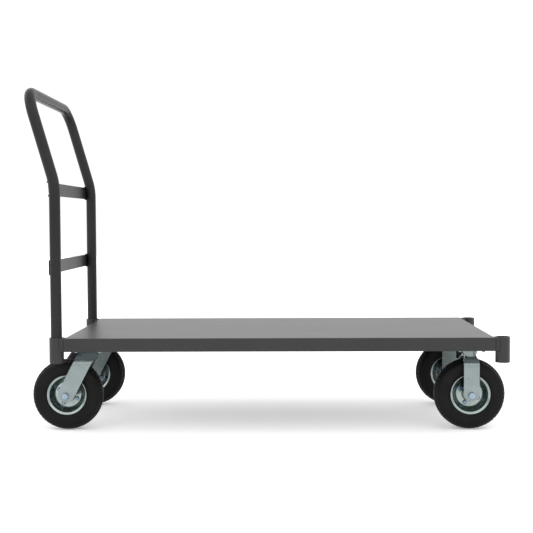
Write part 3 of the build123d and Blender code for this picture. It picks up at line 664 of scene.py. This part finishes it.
def plate_bolts_mesh():
    low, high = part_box("caster_bolts")
    length = (high[2] - low[2]) / MM
    made = bmesh.new()
    for number, place in enumerate(plate_bolt_places(high[2])):
        shank = [(-6.0, PLATE_BOLT_R), (PLATE_THREAD - length, PLATE_BOLT_R)]
        shank += thread_stations(-length + 13.8, -length, PLATE_BOLT_R, COARSE_PITCH)
        head = hexagon_rings(-PLATE_HEAD_HEIGHT, PLATE_HEAD_HEIGHT, PLATE_NUT_FLATS, 11 * number)
        add_stack(made, place, round_rings(shank), ALONG_Z)
        add_stack(made, place, head, ALONG_Z)
    return made


def plate_nuts_mesh():
    low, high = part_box("caster_nuts")
    height = (high[2] - low[2]) / MM
    made = bmesh.new()
    for number, place in enumerate(plate_bolt_places(high[2])):
        add_stack(made, place, hexagon_rings(0.0, -height, PLATE_NUT_FLATS, 13 * number), ALONG_Z)
    return made


for body in wheel_bodies:
    place = body[len("wheel_"):]
    bolts = rim_bolts_mesh(middle("tyre_" + place))
    stand_in("rim_bolts_threaded_" + place, bolts, "rim_bolts_" + place, body, "zinc_fastener")

for side in ("near", "far"):
    swivel = "swivel_" + side
    here = [middle("tyre_" + swivel)]
    for kind, maker in (("bolt", axle_bolt_mesh), ("nut", axle_nut_mesh)):
        node = "swivel_axle_%s_%s" % (kind, side)
        stand_in("chamfered_" + node, maker(here), node, swivel, "zinc_fastener")

rigid_axles = [middle("tyre_rigid_near"), middle("tyre_rigid_far")]
for name, made, node in (
    ("chamfered_rigid_axle_bolts", axle_bolt_mesh(rigid_axles), "rigid_axle_bolts"),
    ("chamfered_rigid_axle_nuts", axle_nut_mesh(rigid_axles), "rigid_axle_nuts"),
    ("threaded_caster_bolts", plate_bolts_mesh(), "caster_bolts"),
    ("chamfered_caster_nuts", plate_nuts_mesh(), "caster_nuts"),
):
    stand_in(name, made, node, "deck", "zinc_fastener")


# ---------------------------------------------------------------- weld beads
def ripple(distance, pitch):
    """Saw-shaped height of one weld ripple, 0 to 1."""
    return (distance / pitch) % 1.0


BEAD_STEP = 0.35
BEAD_PITCH = 2.1
BEAD_OUT = 6.0
BEAD_ASIDE = 15.2
BEAD_ARC = (129.0, 27.0)
BEAD_HALF_OUT = 9.5
BEAD_HALF_ASIDE = 6.3
BEAD_ARC_STEPS = 10
BEAD_END_TAPER = 3.0
BEAD_END_DROP = 0.22
BEAD_LOWEST = 0.94
BEAD_RIPPLE = 0.06
BEAD_INNER = ((13.0, 16.9), (9.6, 14.1), (6.9, 10.8), (6.1, 9.4), (-0.2, 9.4), (-0.2, 20.0))


def socket_bead(made, corner, outward, aside, bottom, top):
    """One upright bead in the notch between a socket and the end flange."""
    count = int((top - bottom) / BEAD_STEP)
    loops = []
    for index in range(count + 1):
        z = bottom + (top - bottom) * index / count
        ends = min(1.0, (z - bottom) / BEAD_END_TAPER, (top - z) / BEAD_END_TAPER)
        swell = BEAD_LOWEST + BEAD_RIPPLE * ripple(z, BEAD_PITCH) - BEAD_END_DROP * (1 - ends) ** 2
        outline = []
        for step in range(BEAD_ARC_STEPS + 1):
            angle = math.radians(BEAD_ARC[0] + (BEAD_ARC[1] - BEAD_ARC[0]) * step / BEAD_ARC_STEPS)
            u = BEAD_OUT + BEAD_HALF_OUT * swell * math.cos(angle)
            v = BEAD_ASIDE + BEAD_HALF_ASIDE * swell * math.sin(angle)
            outline.append((u, v))
        outline += BEAD_INNER
        loop = [
            made.verts.new((corner[0] + outward * u * MM, corner[1] + aside * v * MM, z * MM))
            for u, v in outline
        ]
        loops.append(loop)
    skin(made, loops, False)


def socket_beads_mesh():
    low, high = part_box("socket_welds")
    made = bmesh.new()
    for edge_x, outward in ((deck_low[0], -1), (deck_high[0], 1)):
        for node in ("socket_free_near", "socket_free_far"):
            socket_y = middle(node)[1]
            for aside in (-1, 1):
                socket_bead(made, (edge_x, socket_y), outward, aside, low[2] / MM, high[2] / MM)
    return made


stand_in("rippled_socket_welds", socket_beads_mesh(), "socket_welds", "deck", "grey_powder_coat")


# ---------------------------------------------------------------- softened edges on the CAD pieces
# Bevel widths in metres for the nodes whose names hold the key.
EDGE_WIDTHS = {
    "swivel_fork_": 0.0007, "rigid_fork_": 0.0007, "swivel_plate_": 0.0006, "swivel_cup_": 0.0004,
    "channel_": 0.0004, "brace_upper": 0.0005, "brace_lower": 0.0003, "kingpin": 0.0004,
    "caster_washers": 0.0003, "spacers": 0.0004, "bearings_": 0.0003,
}
EDGE_ANGLE = math.radians(40)
WELD_DISTANCE = 0.00001


def soften(part, width):
    """Joins the CAD mesh's split corners, rounds its sharp edges and keeps its flat faces flat."""
    weld = part.modifiers.new("weld", "WELD")
    weld.merge_threshold = WELD_DISTANCE
    bevel = part.modifiers.new("edge", "BEVEL")
    bevel.width = width
    bevel.segments = 2
    bevel.limit_method = "ANGLE"
    bevel.angle_limit = EDGE_ANGLE
    part.modifiers.new("normals", "WEIGHTED_NORMAL")


for name, part in nodes.items():
    for key, width in EDGE_WIDTHS.items():
        if key in name:
            soften(part, width)
